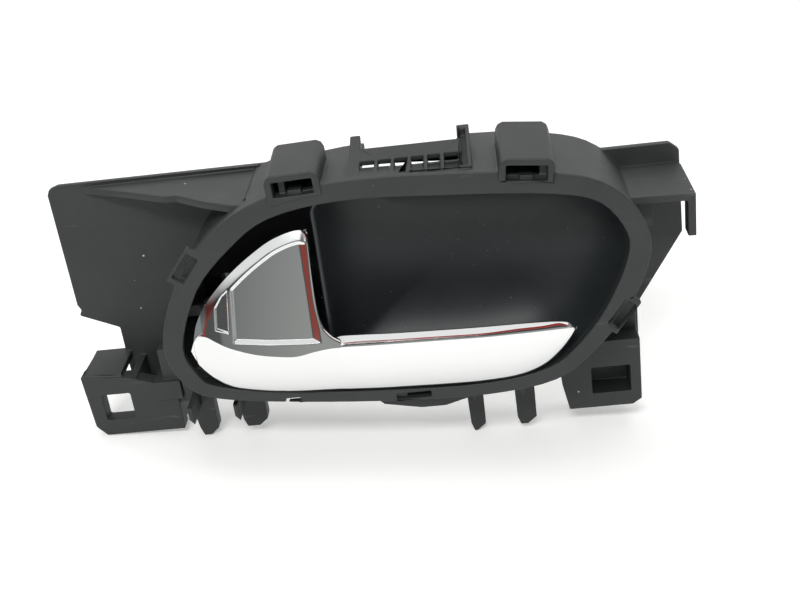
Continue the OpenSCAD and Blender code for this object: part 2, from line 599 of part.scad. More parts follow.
// Rubber bumpers clipped on the edges of the arm's window
bumper_h = 12.4;
module rest_bumper() color("#141414") difference() {
  box([window_x1 - 3, plate_y - bumper_t, arm_z - bumper_h / 2],
    [hinge_x - arm_w / 2 - gap, body_d + bumper_t, arm_z + bumper_h / 2]);
  box([window_x1 - 4, plate_y, arm_z - bumper_h], [window_x1, body_d, arm_z + bumper_h]);
}
module travel_bumper() color("#141414") difference() {
  box([travel_x, plate_y - bumper_t, arm_z - bumper_h / 2],
    [window_x2 + 3, body_d + bumper_t, arm_z + bumper_h / 2]);
  box([window_x2, plate_y, arm_z - bumper_h], [window_x2 + 4, body_d, arm_z + bumper_h]);
}

// Swivel in the arm's end, slotted for the cable's end
module cable_swivel() color("#b9a04a") difference() {
  union() {
    post(hinge_x, swivel_y, swivel_r, arm_z - arm_h / 2 - 0.4, arm_z + arm_h / 2 + gap);
    post(hinge_x, swivel_y, swivel_r + 0.8, arm_z + arm_h / 2 + gap, arm_z + arm_h / 2 + 1.5);
  }
  translate([hinge_x - 5, swivel_y, arm_z]) rotate([0, 90, 0]) cylinder(r = nipple_r, h = 10, $fn = 48);
}

// Holder of the cable sheath in its channel behind the plate
module sheath_holder() color("#1a1b1c") difference() {
  box([holder_x, body_d, arm_z - holder_h / 2],
    [holder_x + sheath_l, cable_y + sheath_r + 1.8, arm_z + holder_h / 2]);
  translate([holder_x - 1, cable_y, arm_z]) rotate([0, 90, 0])
    cylinder(r = sheath_r, h = sheath_l + 2, $fn = 48);
  box([holder_x - 1, cable_y, arm_z - 1], [holder_x + sheath_l + 1, cable_y + sheath_r + 3, arm_z + 1]);
}

housing();
finger_cup();
lever_shell();
lever_carrier();
shell_screws();
hinge_pin();
pin_clip();
hinge_bush_upper();
hinge_bush_lower();
return_spring();
rest_bumper();
travel_bumper();
cable_swivel();
sheath_holder();
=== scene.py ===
import bpy
import bmesh
import math
from mathutils import Matrix, Vector


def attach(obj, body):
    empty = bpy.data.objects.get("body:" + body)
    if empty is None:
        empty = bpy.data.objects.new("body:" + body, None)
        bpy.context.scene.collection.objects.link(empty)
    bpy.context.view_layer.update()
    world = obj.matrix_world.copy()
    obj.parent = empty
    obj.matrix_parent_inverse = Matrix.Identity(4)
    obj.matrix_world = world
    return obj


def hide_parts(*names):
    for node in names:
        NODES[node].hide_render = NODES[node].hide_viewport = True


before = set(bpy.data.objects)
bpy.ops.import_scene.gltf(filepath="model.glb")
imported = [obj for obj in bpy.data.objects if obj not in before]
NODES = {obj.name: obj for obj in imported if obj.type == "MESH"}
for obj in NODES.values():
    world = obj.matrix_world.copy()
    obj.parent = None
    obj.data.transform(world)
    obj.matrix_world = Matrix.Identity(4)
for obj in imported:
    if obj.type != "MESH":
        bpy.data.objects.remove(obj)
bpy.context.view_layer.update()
MM = 0.001

# Ring outline of the housing in millimetres: X, Z and the width of the face there as a share of FACE_W
RING = [
    (-78.6, -12, 1.07), (-74, -26.5, 0.95), (-64, -32.4, 0.74), (-38, -36.3, 0.65), (-6, -39.1, 0.71),
    (22, -39.8, 0.73), (44, -36.6, 0.83), (57, -27, 0.92), (67.5, -14, 1.08), (74.5, 2, 1.12),
    (74, 14, 1.04), (64.5, 27, 1), (48, 33.3, 1.12), (15, 36.8, 1.16), (-16, 37.7, 1.05), (-40, 34.2, 1.07),
    (-56, 25.2, 1.2), (-70, 10, 1.14),
]
# Sizes in millimetres, as in the solids: the ring's face and flange, the wall behind it and how far that
# stands in from the ring's edge, then the cup's depth and wall, the gap around it, its left side, and the
# X and Z of its middle
FACE_W = 6.0
FLANGE_T = 2.4
WALL = 2.4
WALL_INSET = 0.6
CUP_DEEP = 26.0
CUP_T = 1.8
GAP = 0.35
CUP_LEFT = -24.5
CUP_MIDDLE = (24.0, 5.0)

# Stations along the lever in millimetres: lower edge X, Z; crease X, Z, Y; back of the top band X, Z, Y
LEVER = [
    (-69.5, -15.2, -69.45, -14.0, -0.5, -69.4, -13.6, 0.2),
    (-69.2, -17.4, -68.9, -12.0, -1.2, -68.6, -11.2, 0.0),
    (-68.0, -20.4, -67.8, -10.0, -1.8, -67.4, -8.8, -0.6),
    (-66.1, -23.2, -66.0, -8.6, -2.2, -65.6, -7.2, -1.2),
    (-63.9, -25.4, -63.6, -8.2, -2.6, -63.4, -6.7, -1.7),
    (-60.8, -27.5, -60.4, -9.8, -3.4, -60.2, -8.3, -2.4),
    (-56.5, -29.1, -56.0, -12.0, -4.5, -55.8, -10.5, -3.5),
    (-48.4, -30.6, -48.6, -14.4, -5.4, -48.5, -12.9, -4.5),
    (-42.0, -31.3, -41.8, -15.6, -5.9, -41.8, -14.1, -5.0),
    (-36.0, -31.8, -35.8, -16.1, -6.1, -35.8, -14.6, -5.2),
    (-30.0, -32.2, -29.8, -15.2, -6.0, -29.8, -13.8, -5.0),
    (-24.0, -32.6, -24.0, -14.6, -5.9, -24.0, -11.8, -3.0),
    (-15.0, -33.2, -15.0, -14.9, -5.9, -15.0, -12.0, -2.8),
    (-6.0, -33.7, -6.0, -15.2, -5.8, -6.0, -12.5, -2.8),
    (10.0, -34.3, 10.0, -15.8, -5.4, 10.0, -13.2, -2.5),
    (22.0, -34.4, 22.0, -16.3, -5.0, 22.0, -13.7, -2.1),
    (32.6, -33.5, 32.6, -16.6, -4.4, 32.6, -14.0, -1.8),
    (40.4, -30.8, 40.6, -16.8, -3.7, 40.6, -14.4, -1.4),
    (45.6, -26.7, 46.2, -17.0, -3.0, 46.2, -14.9, -1.2),
    (49.0, -22.6, 49.6, -17.4, -2.0, 49.4, -15.9, -0.6),
    (51.4, -18.8, 51.3, -18.4, -0.3, 51.3, -17.9, 0.5),
]
# How the bar's front rises from its lower edge to the crease: share of the height, then share of the depth
# below the paddle and on the free bar
FRONT_CURVE = [
    (0.0, 0.10, 0.10), (0.006, 0.24, 0.24), (0.05, 0.44, 0.46), (0.14, 0.60, 0.64), (0.30, 0.76, 0.86),
    (0.50, 0.87, 0.985), (0.68, 0.935, 1.0), (0.82, 0.97, 0.985), (0.92, 0.988, 0.955), (1.0, 1.0, 0.915),
]
# Y of the lower edge, the point that the left tip draws towards, and the skin's thickness
LOWER_EDGE_Y = 1.0
LEFT_TIP = Vector((-69.5, 0.9, -14.6))
SKIN_T = 0.5
# The paddle in X and Z: its long upper edge and its right edge
PADDLE_TOP = [
    (-68.0, -9.6), (-66.8, -5.6), (-64.9, -2.0), (-62.4, 1.4), (-58.6, 5.3), (-55.0, 8.4), (-50.7, 11.6),
    (-46.0, 14.6), (-40.9, 17.4), (-36.5, 19.0), (-33.0, 19.8), (-30.4, 19.9), (-28.9, 19.4),
]
PADDLE_RIGHT = [
    (-21.0, -14.7), (-21.4, -12.8), (-23.8, -11.3), (-26.4, -8.3), (-27.7, -3.6), (-28.1, 2.0),
    (-28.1, 9.0), (-27.9, 15.0), (-28.1, 18.0), (-28.9, 19.4),
]
# The large sunk mirror lies over its floor, between a left and a right side; FACET is the small one beside it
MIRROR_LEFT = [(-54.9, -10.2), (-54.4, -1.0), (-53.9, 8.0)]
MIRROR_RIGHT = [(-27.5, -14.0), (-28.9, 18.5)]
MIRROR_FLOOR = [(-60.0, -10.2), (-53.7, -11.0), (-43.7, -12.2), (-31.8, -12.9), (-24.0, -12.9)]
FACET = [(-60.3, -6.4), (-55.9, -7.8), (-54.9, 5.4), (-57.6, 3.2), (-59.8, 0.2)]
# The paddle's front: its fall back for each millimetre of height, its Y at height zero, the rim's width, fall
# and rounding, the radius of the right edge, and the large mirror's depth and the width of its right slope
LEAN = 0.39
FACE_Y = 0.22
RIM_W = 2.9
RIM_FALL = 0.25
RIM_ROUND = 0.4
EDGE_R = 0.9
MIRROR_SUNK = 0.85
MIRROR_SLOPE_W = 2.3
# Colours of masks
BLACK = (0, 0, 0, 1)
WHITE = (1, 1, 1, 1)


def grey(level):
    return (level, level, level, 1)


def linear(hex_colour):
    """A colour written as sRGB hex, as the shader wants it."""
    parts = [int(hex_colour[i:i + 2], 16) / 255 for i in (1, 3, 5)]
    return [c / 12.92 if c <= 0.04045 else ((c + 0.055) / 1.055) ** 2.4 for c in parts] + [1.0]


def put(tree, kind, inputs=None, stops=(), **settings):
    """Adds a node with its settings. An input is a value or the socket that feeds it.

    The stops of a colour ramp are pairs of a place and a colour, from left to right."""
    made = tree.nodes.new(kind)
    for name, value in settings.items():
        setattr(made, name, value)
    for name, value in (inputs or {}).items():
        if isinstance(value, bpy.types.NodeSocket):
            tree.links.new(value, made.inputs[name])
        else:
            made.inputs[name].default_value = value
    if stops:
        marks = made.color_ramp.elements
        marks[0].position, marks[0].color = stops[0]
        marks[1].position, marks[1].color = stops[-1]
        for position, colour in stops[1:-1]:
            marks.new(position).color = colour
    return made


def start_material(name):
    """A material with an empty node tree."""
    material = bpy.data.materials.new(name)
    material.use_nodes = True
    material.node_tree.nodes.clear()
    return material, material.node_tree


def grained_polypropylene(name, dark, light, grit_mm, specks, scuffs):
    """Moulded, spark-grained polypropylene: a dull dark grey, brighter at a low angle, with dust and rubs."""
    material, tree = start_material(name)
    place = put(tree, "ShaderNodeTexCoord").outputs["Object"]
    clouds = put(tree, "ShaderNodeTexNoise",
                 {"Vector": place, "Scale": 45.0, "Detail": 6.0, "Roughness": 0.62}).outputs["Fac"]
    tone = put(tree, "ShaderNodeValToRGB", {"Fac": clouds}, [(0.32, linear(dark)), (0.70, linear(light))])
    # Rubs run along the door, so the pattern is stretched in X
    streaks = put(tree, "ShaderNodeMapping",
                  {"Vector": place, "Rotation": (0.0, 0.5, 0.0), "Scale": (60.0, 260.0, 420.0)})
    rub = put(tree, "ShaderNodeTexNoise", {"Vector": streaks.outputs["Vector"], "Scale": 1.0, "Detail": 3.0})
    rub = put(tree, "ShaderNodeValToRGB", {"Fac": rub.outputs["Fac"]}, [(0.66, BLACK), (0.78, WHITE)])
    patch = put(tree, "ShaderNodeTexNoise", {"Vector": place, "Scale": 28.0, "Detail": 2.0})
    patch = put(tree, "ShaderNodeValToRGB", {"Fac": patch.outputs["Fac"]}, [(0.52, BLACK), (0.66, WHITE)])
    rubbed = put(tree, "ShaderNodeMath", {0: rub.outputs["Color"], 1: patch.outputs["Color"]},
                 operation="MULTIPLY")
    rubbed = put(tree, "ShaderNodeMath", {0: rubbed.outputs[0], 1: scuffs}, operation="MULTIPLY")
    worn = put(tree, "ShaderNodeMix",
               {"Factor": rubbed.outputs[0], "A": tone.outputs["Color"], "B": linear("#73767a")},
               data_type="RGBA")
    # Dust: single grains of 0.5 to 0.8 mm, about 5 mm apart and only here and there
    cells = put(tree, "ShaderNodeTexVoronoi", {"Vector": place, "Scale": 190.0, "Randomness": 1.0})
    speck = put(tree, "ShaderNodeValToRGB", {"Fac": cells.outputs["Distance"]},
                [(0.045, WHITE), (0.075, BLACK)])
    chosen = put(tree, "ShaderNodeSeparateColor", {"Color": cells.outputs["Color"]})
    few = put(tree, "ShaderNodeValToRGB", {"Fac": chosen.outputs["Red"]},
              [(1.0 - specks, BLACK), (1.0 - specks + 0.02, WHITE)])
    dust = put(tree, "ShaderNodeMath", {0: speck.outputs["Color"], 1: few.outputs["Color"]},
               operation="MULTIPLY")
    colour = put(tree, "ShaderNodeMix",
                 {"Factor": dust.outputs[0], "A": worn.outputs["Result"], "B": linear("#c9c9c3")},
                 data_type="RGBA")
    grit = put(tree, "ShaderNodeTexNoise",
               {"Vector": place, "Scale": 1000.0 / grit_mm, "Detail": 2.0, "Roughness": 0.6})
    bump = put(tree, "ShaderNodeBump", {"Height": grit.outputs["Fac"], "Strength": 0.35, "Distance": 0.00012})
    dullness = put(tree, "ShaderNodeValToRGB", {"Fac": clouds}, [(0.3, grey(0.50)), (0.7, grey(0.64))])
    shader = put(tree, "ShaderNodeBsdfPrincipled",
                 {"Base Color": colour.outputs["Result"], "Roughness": dullness.outputs["Color"], "IOR": 1.49,
                  "Normal": bump.outputs["Normal"]})
    put(tree, "ShaderNodeOutputMaterial", {"Surface": shader.outputs["BSDF"]})
    return material


def satin_abs(name, dark, light, roughness, dust_share):
    """Smooth moulded ABS: satin, with a soft highlight, fine dust and a barely uneven surface."""
    material, tree = start_material(name)
    place = put(tree, "ShaderNodeTexCoord").outputs["Object"]
    clouds = put(tree, "ShaderNodeTexNoise",
                 {"Vector": place, "Scale": 30.0, "Detail": 5.0, "Roughness": 0.6})
    tone = put(tree, "ShaderNodeValToRGB", {"Fac": clouds.outputs["Fac"]},
               [(0.3, linear(dark)), (0.72, linear(light))])
    cells = put(tree, "ShaderNodeTexVoronoi", {"Vector": place, "Scale": 420.0, "Randomness": 1.0})
    speck = put(tree, "ShaderNodeValToRGB", {"Fac": cells.outputs["Distance"]},
                [(0.05, WHITE), (0.12, BLACK)])
    chosen = put(tree, "ShaderNodeSeparateColor", {"Color": cells.outputs["Color"]})
    few = put(tree, "ShaderNodeValToRGB", {"Fac": chosen.outputs["Green"]},
              [(1.0 - dust_share, BLACK), (1.0, grey(0.6))])
    dust = put(tree, "ShaderNodeMath", {0: speck.outputs["Color"], 1: few.outputs["Color"]},
               operation="MULTIPLY")
    colour = put(tree, "ShaderNodeMix",
                 {"Factor": dust.outputs[0], "A": tone.outputs["Color"], "B": linear("#7d8286")},
                 data_type="RGBA")
    grit = put(tree, "ShaderNodeTexNoise", {"Vector": place, "Scale": 2600.0, "Detail": 1.0})
    bump = put(tree, "ShaderNodeBump", {"Height": grit.outputs["Fac"], "Strength": 0.12, "Distance": 0.00005})
    shader = put(tree, "ShaderNodeBsdfPrincipled",
                 {"Base Color": colour.outputs["Result"], "Roughness": roughness, "IOR": 1.53,
                  "Normal": bump.outputs["Normal"]})
    put(tree, "ShaderNodeOutputMaterial", {"Surface": shader.outputs["BSDF"]})
    return material


def plated_chrome(name):
    """Chrome plating on ABS: a clear mirror with a trace of haze where hands have rubbed it."""
    material, tree = start_material(name)
    place = put(tree, "ShaderNodeTexCoord").outputs["Object"]
    haze = put(tree, "ShaderNodeTexNoise", {"Vector": place, "Scale": 60.0, "Detail": 4.0, "Roughness": 0.7})
    dullness = put(tree, "ShaderNodeValToRGB", {"Fac": haze.outputs["Fac"]},
                   [(0.4, grey(0.035)), (0.75, grey(0.09))])
    shader = put(tree, "ShaderNodeBsdfPrincipled",
                 {"Base Color": linear("#e3e4e4"), "Metallic": 1.0, "Roughness": dullness.outputs["Color"]})
    put(tree, "ShaderNodeOutputMaterial", {"Surface": shader.outputs["BSDF"]})
    return material


def drawn_steel(name, dark, light, roughness, lines_mm):
    """Zinc-plated or drawn steel, or turned brass: metal with fine marks about the upright axis."""
    material, tree = start_material(name)
    place = put(tree, "ShaderNodeTexCoord").outputs["Object"]
    marks = put(tree, "ShaderNodeMapping", {"Vector": place, "Scale": (300.0, 300.0, 1000.0 / lines_mm)})
    grain = put(tree, "ShaderNodeTexNoise", {"Vector": marks.outputs["Vector"], "Scale": 1.0, "Detail": 3.0})
    tone = put(tree, "ShaderNodeValToRGB", {"Fac": grain.outputs["Fac"]},
               [(0.3, linear(dark)), (0.7, linear(light))])
    bump = put(tree, "ShaderNodeBump", {"Height": grain.outputs["Fac"], "Strength": 0.2, "Distance": 0.00003})
    shader = put(tree, "ShaderNodeBsdfPrincipled",
                 {"Base Color": tone.outputs["Color"], "Metallic": 1.0, "Roughness": roughness,
                  "Normal": bump.outputs["Normal"]})
    put(tree, "ShaderNodeOutputMaterial", {"Surface": shader.outputs["BSDF"]})
    return material


def plain_moulding(name, dark, light, roughness, ior, grit_mm):
    """Small moulded plastic or rubber part: even colour, a slight grain and no shine."""
    material, tree = start_material(name)
    place = put(tree, "ShaderNodeTexCoord").outputs["Object"]
    grain = put(tree, "ShaderNodeTexNoise", {"Vector": place, "Scale": 1000.0 / grit_mm, "Detail": 3.0})
    tone = put(tree, "ShaderNodeValToRGB", {"Fac": grain.outputs["Fac"]},
               [(0.3, linear(dark)), (0.7, linear(light))])
    bump = put(tree, "ShaderNodeBump", {"Height": grain.outputs["Fac"], "Strength": 0.2, "Distance": 0.00005})
    shader = put(tree, "ShaderNodeBsdfPrincipled",
                 {"Base Color": tone.outputs["Color"], "Roughness": roughness, "IOR": ior,
                  "Normal": bump.outputs["Normal"]})
    put(tree, "ShaderNodeOutputMaterial", {"Surface": shader.outputs["BSDF"]})
    return material


def dress(piece, material):
    """Gives a piece one material all over."""
    piece.data.materials.clear()
    piece.data.materials.append(material)


def catmull(a, b, c, d, t):
    """A smooth value between b and c, which also looks at their neighbours."""
    return 0.5 * (2 * b + (c - a) * t + (2 * a - 5 * b + 4 * c - d) * t * t
                  + (3 * b - a - 3 * c + d) * t ** 3)


def closed_outline(knots, steps):
    """A smooth closed line through the knots, with so many steps from knot to knot."""
    count = len(knots)
    return [[catmull(*(knots[(i + o) % count][k] for o in (-1, 0, 1, 2)), s / steps) for k in range(3)]
            for i in range(count) for s in range(steps)]


def inset_outline(points, distances):
    """A closed outline moved inwards, each point by its own distance."""
    moved = []
    for i, point in enumerate(points):
        ahead, behind = points[(i + 1) % len(points)], points[i - 1]
        along = Vector((ahead[0] - behind[0], ahead[1] - behind[1])).normalized()
        moved.append((point[0] - along.y * distances[i], point[1] + along.x * distances[i]))
    return moved


def eased(value, reach):
    """Zero below zero and value above it, with a rounded turn."""
    root = math.sqrt(value * value + reach * reach)
    return 0.5 * (value + root) - 0.5 * reach * math.exp(-abs(value) / reach)


def even_outline(points, count):
    """The same closed outline with evenly spread points."""
    ends = points[1:] + points[:1]
    lengths = [math.dist(a, b) for a, b in zip(points, ends)]
    spread, i, done = [], 0, 0.0
    for k in range(count):
        aim = sum(lengths) * k / count
        while done + lengths[i] < aim:
            done += lengths[i]
            i += 1
        t = (aim - done) / max(lengths[i], 1e-9)
        spread.append(tuple(a + (b - a) * t for a, b in zip(points[i], ends[i])))
    return spread


def sheet_piece(name, rows):
    """A grid primitive whose points are drawn out to the given rows, in millimetres."""
    bpy.ops.object.select_all(action="DESELECT")
    bpy.ops.mesh.primitive_grid_add(x_subdivisions=len(rows[0]) - 1, y_subdivisions=len(rows) - 1, size=1.0)
    piece = bpy.context.object
    piece.name = name
    across = len(rows[0])
    for i, vertex in enumerate(piece.data.vertices):
        vertex.co = Vector(rows[i // across][i % across]) * MM
    return piece


def mend(piece, reach):
    """Joins doubled points and turns all faces outwards."""
    bpy.ops.object.select_all(action="DESELECT")
    bpy.context.view_layer.objects.active = piece
    piece.select_set(True)
    bpy.ops.object.mode_set(mode="EDIT")
    bpy.ops.mesh.select_all(action="SELECT")
    bpy.ops.mesh.remove_doubles(threshold=reach)
    bpy.ops.mesh.normals_make_consistent(inside=False)
    bpy.ops.object.mode_set(mode="OBJECT")


def face_front(piece):
    """Turns an open sheet so that its outer side faces the viewer."""
    if sum(face.normal.y * face.area for face in piece.data.polygons) > 0:
        bpy.ops.object.mode_set(mode="EDIT")
        bpy.ops.mesh.select_all(action="SELECT")
        bpy.ops.mesh.flip_normals()
        bpy.ops.object.mode_set(mode="OBJECT")


def finish_with(piece, kind, **settings):
    """Adds a modifier and applies it."""
    bpy.context.view_layer.objects.active = piece
    modifier = piece.modifiers.new(kind.title(), kind)
    for name, value in settings.items():
        setattr(modifier, name, value)
    bpy.ops.object.modifier_apply(modifier=modifier.name)


def smooth(piece, angle=None):
    """Shades a piece smooth, with hard edges past the angle in degrees where one is given."""
    bpy.ops.object.select_all(action="DESELECT")
    bpy.context.view_layer.objects.active = piece
    piece.select_set(True)
    if angle is None:
        bpy.ops.object.shade_smooth()
    else:
        bpy.ops.object.shade_smooth_by_angle(angle=math.radians(angle))


def stations(table, columns):
    """Smooth values of the lever's stations at evenly spread columns."""
    result = []
    last = len(table) - 1
    for c in range(columns + 1):
        place = c / columns * last
        i = min(int(place), last - 1)
        t = place - i
        four = [table[max(0, min(last, i + o))] for o in (-1, 0, 1, 2)]
        result.append([catmull(*(row[k] for row in four), t) for k in range(len(table[0]))])
    return result


def ramp_between(value, low, high):
    """0 below low, 1 above high and a soft step between."""
    t = max(0.0, min(1.0, (value - low) / (high - low)))
    return t * t * (3 - 2 * t)


def even_line(knots, count):
    """A smooth open line through the knots, as evenly spread points."""
    fine = []
    steps = 12
    for i in range(len(knots) - 1):
        four = [knots[max(0, min(len(knots) - 1, i + o))] for o in (-1, 0, 1, 2)]
        for s in range(steps):
            fine.append(tuple(catmull(*(k[axis] for k in four), s / steps) for axis in range(len(knots[0]))))
    fine.append(tuple(knots[-1]))
    lengths = [math.dist(a, b) for a, b in zip(fine, fine[1:])]
    spread, i, done = [], 0, 0.0
    for k in range(count + 1):
        aim = sum(lengths) * k / count
        while i < len(lengths) - 1 and done + lengths[i] < aim:
            done += lengths[i]
            i += 1
        t = min(1.0, (aim - done) / max(lengths[i], 1e-9))
        spread.append(tuple(a + (b - a) * t for a, b in zip(fine[i], fine[i + 1])))
    return spread


def off_line(x, z, line):
    """Signed distance from a line of points, positive on its left side."""
    best = 1e9
    for (x1, z1), (x2, z2) in zip(line, line[1:]):
        along_x, along_z = x2 - x1, z2 - z1
        t = max(0.0, min(1.0, ((x - x1) * along_x + (z - z1) * along_z) / (along_x ** 2 + along_z ** 2)))
        away = math.hypot(x - x1 - along_x * t, z - z1 - along_z * t)
        side = along_x * (z - z1) - along_z * (x - x1)
        if away < abs(best):
            best = math.copysign(away, side)
    return best


PADDLE_TOP_FINE = even_line(PADDLE_TOP, 48)
PADDLE_RIGHT_FINE = even_line(PADDLE_RIGHT, 40)


def paddle_depth(x, z):
    """Y of the paddle's leaning front, with its falling rim, round right edge and two sunk mirrors."""
    # Left of X -58 the face curls back towards the tip
    y = LEAN * z + FACE_Y + 0.02 * max(0.0, -58.0 - x) ** 2
    rim = -off_line(x, z, PADDLE_TOP_FINE)
    right = off_line(x, z, PADDLE_RIGHT_FINE)
    y += 0.5 * RIM_FALL * (RIM_W - rim + math.sqrt((RIM_W - rim) ** 2 + RIM_ROUND ** 2))
    if right < EDGE_R:
        y += EDGE_R - math.sqrt(max(0.0, EDGE_R ** 2 - (EDGE_R - max(right, 0.0)) ** 2))
    sunk = min(ramp_between(off_line(x, z, MIRROR_FLOOR), 0.0, 1.5),
               ramp_between(rim, RIM_W, RIM_W + 1.1),
               ramp_between(-off_line(x, z, MIRROR_LEFT), 0.0, 0.7),
               max(0.0, min(1.0, off_line(x, z, MIRROR_RIGHT) / MIRROR_SLOPE_W)))
    y += MIRROR_SUNK * sunk
    # The small mirror gets deeper towards its left side
    sides = [off_line(x, z, [a, b]) for a, b in zip(FACET, FACET[1:] + FACET[:1])]
    return y + (0.35 + 0.12 * (-54.9 - x)) * ramp_between(min(sides), 0.0, 0.5)


def paddle_sheet():
    """The paddle as a fine grid between crease, upper edge and right edge, with walls behind its edges."""
    across, up = 190, 110
    crease = [(row[2], row[3]) for row in LEVER[2:11]] + [(-25.0, -14.7), PADDLE_RIGHT[0]]
    low = even_line(crease, across)
    top = even_line(PADDLE_TOP, across)
    right = even_line(PADDLE_RIGHT, up)
    rows = []
    for i in range(across + 1):
        u = i / across
        row = []
        for k in range(up + 1):
            v = k / up
            point = [(1 - v) * low[i][n] + v * top[i][n]
                     + u * (right[k][n] - (1 - v) * low[-1][n] - v * top[-1][n]) for n in (0, 1)]
            row.append(Vector((point[0], paddle_depth(*point), point[1])))
        # The wall behind the upper edge
        edge = row[-1]
        row += [edge + Vector((0, back, down)) for back, down in ((0.15, -0.02), (0.3, -0.15), (0.6, -0.4))]
        rows.append(row)
    # The wall behind the right edge
    edge = rows[-1]
    for share in (0.2, 0.5, 1.0):
        rows.append([edge[min(k, up)] + Vector((-0.3 * share, 0.6 * share, 0)) for k in range(len(edge))])
    return sheet_piece("paddle_skin", rows)


def bar_rows():
    """Columns of points up the bar's front, over its top band and down behind it, from the left tip on."""
    rows = []
    for low_x, low_z, crease_x, crease_z, crease_y, top_x, top_z, top_y in stations(LEVER, 200):
        bar_only = ramp_between(crease_x, -36.0, -12.0)
        # The top band shows at the left tip and right of the paddle, and hides behind the paddle
        free = max(ramp_between(crease_x, -27.5, -21.0), 1 - ramp_between(crease_x, -67.0, -62.0))
        if crease_x < -21.0:
            crease_y += (paddle_depth(crease_x, crease_z) - crease_y) * ramp_between(-crease_x, 21.0, 25.0)
        low, crease = Vector((low_x, LOWER_EDGE_Y, low_z)), Vector((crease_x, crease_y, crease_z))
        column = [low]
        for height, paddle_part, bar_part in FRONT_CURVE:
            share = paddle_part + (bar_part - paddle_part) * bar_only
            column.append(low + Vector(((crease.x - low.x) * height, (crease.y - low.y) * share,
                                        (crease.z - low.z) * height)))
        front = column[-1]
        hidden = front + Vector((0.0, 0.9, 1.5))
        top = hidden + (Vector((top_x, top_y, top_z)) - hidden) * free
        bulge = 0.08 * free + 0.35 * (1 - free)
        turn = Vector((front.x, front.y + bulge * (top.y - front.y), front.z + 0.34 * (top.z - front.z)))
        for t in (0.06, 0.14, 0.24, 0.36, 0.5, 0.66, 0.83, 1.0):
            column.append(front * (1 - t) ** 2 + turn * 2 * t * (1 - t) + top * t * t)
        column += [top + Vector((0, 0.12, -0.15)), top + Vector((0, 0.3, -0.7))]
        rows.append(column)
    rows[0] = [LEFT_TIP.lerp(point, 0.15) for point in rows[0]]
    return rows


def lever_skin():
    """The plated lever: a rolled bar with a bright top band, and the leaning paddle."""
    paddle = paddle_sheet()
    mend(paddle, 0.00001)
    face_front(paddle)
    piece = sheet_piece("lever_skin", bar_rows())
    mend(piece, 0.00001)
    face_front(piece)
    finish_with(piece, "SUBSURF", levels=1, render_levels=1)
    for part in (paddle, piece):
        finish_with(part, "SOLIDIFY", thickness=SKIN_T * MM, offset=-1.0)
    bpy.ops.object.select_all(action="DESELECT")
    paddle.select_set(True)
    piece.select_set(True)
    bpy.context.view_layer.objects.active = piece
    bpy.ops.object.join()
    smooth(piece, 50)
    dress(piece, chrome)
    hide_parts("lever_shell")
    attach(piece, "lever")


def finger_bowl():
    """The smooth cup behind the ring, drawn from the ring's own outline."""
    curve = closed_outline(RING, 6)
    edge = [(p[0], p[1]) for p in curve]
    room = [max(p[2] * FACE_W, WALL_INSET + WALL + GAP + CUP_T) for p in curve]
    # A soft upright line cuts the mouth off on the left, and the mouth gets a little lower there
    mouth = [(CUP_LEFT + eased(x - CUP_LEFT, 7.0), z * (1 - 0.12 * eased(CUP_LEFT + 8 - x, 6.0) / 30))
             for x, z in inset_outline(edge, room)]
    mouth = even_outline(mouth, 96)
    seat = inset_outline(mouth, [-1.2] * len(mouth))
    rows = [[(x, FLANGE_T + 0.02, z) for x, z in seat]]
    middle_x, middle_z = CUP_MIDDLE
    rings = 16
    for k in range(rings + 1):
        angle = math.radians(89.5 * k / rings)
        share = math.cos(angle) ** 0.55
        depth = FLANGE_T + CUP_DEEP * math.sin(angle) ** 0.8
        rows.append([(middle_x + (x - middle_x) * share, depth, middle_z + (z - middle_z) * share)
                     for x, z in mouth])
    rows = [row + [row[0]] for row in rows]
    piece = sheet_piece("finger_bowl", rows)
    # The innermost ring of points becomes the bottom's middle point
    bpy.ops.object.mode_set(mode="EDIT")
    mesh = bmesh.from_edit_mesh(piece.data)
    deepest = max(v.co.y for v in mesh.verts)
    for vertex in mesh.verts:
        vertex.select = vertex.co.y > deepest - 0.00001
    mesh.select_flush(True)
    bmesh.update_edit_mesh(piece.data)
    bpy.ops.mesh.merge(type="CENTER")
    bpy.ops.object.mode_set(mode="OBJECT")
    mend(piece, 0.00005)
    finish_with(piece, "SUBSURF", levels=1, render_levels=1)
    finish_with(piece, "SOLIDIFY", thickness=0.0016, offset=1.0)
    smooth(piece, 50)
    dress(piece, cup_plastic)
    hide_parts("finger_cup")
    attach(piece, "base")


def weld(piece):
    """Joins the loose triangles of a CAD node by a modifier."""
    joined = piece.modifiers.new("Weld", "WELD")
    joined.merge_threshold = 0.000002


def soften(name, material, radius):
    """Gives a CAD node its moulded edge radius and its finish."""
    piece = NODES[name]
    dress(piece, material)
    weld(piece)
    flat = piece.modifiers.new("Flat faces", "DECIMATE")
    flat.decimate_type = "DISSOLVE"
    flat.angle_limit = math.radians(0.5)
    piece.modifiers.new("Sound faces", "TRIANGULATE")
    edge = piece.modifiers.new("Edge radius", "BEVEL")
    edge.width = radius
    edge.segments = 2
    edge.limit_method = "ANGLE"
    edge.angle_limit = math.radians(35.0)
    edge.use_clamp_overlap = False
    edge.miter_outer = "MITER_ARC"
    smooth(piece, 40)
    shading = piece.modifiers.new("Flat shading", "WEIGHTED_NORMAL")
    shading.keep_sharp = True


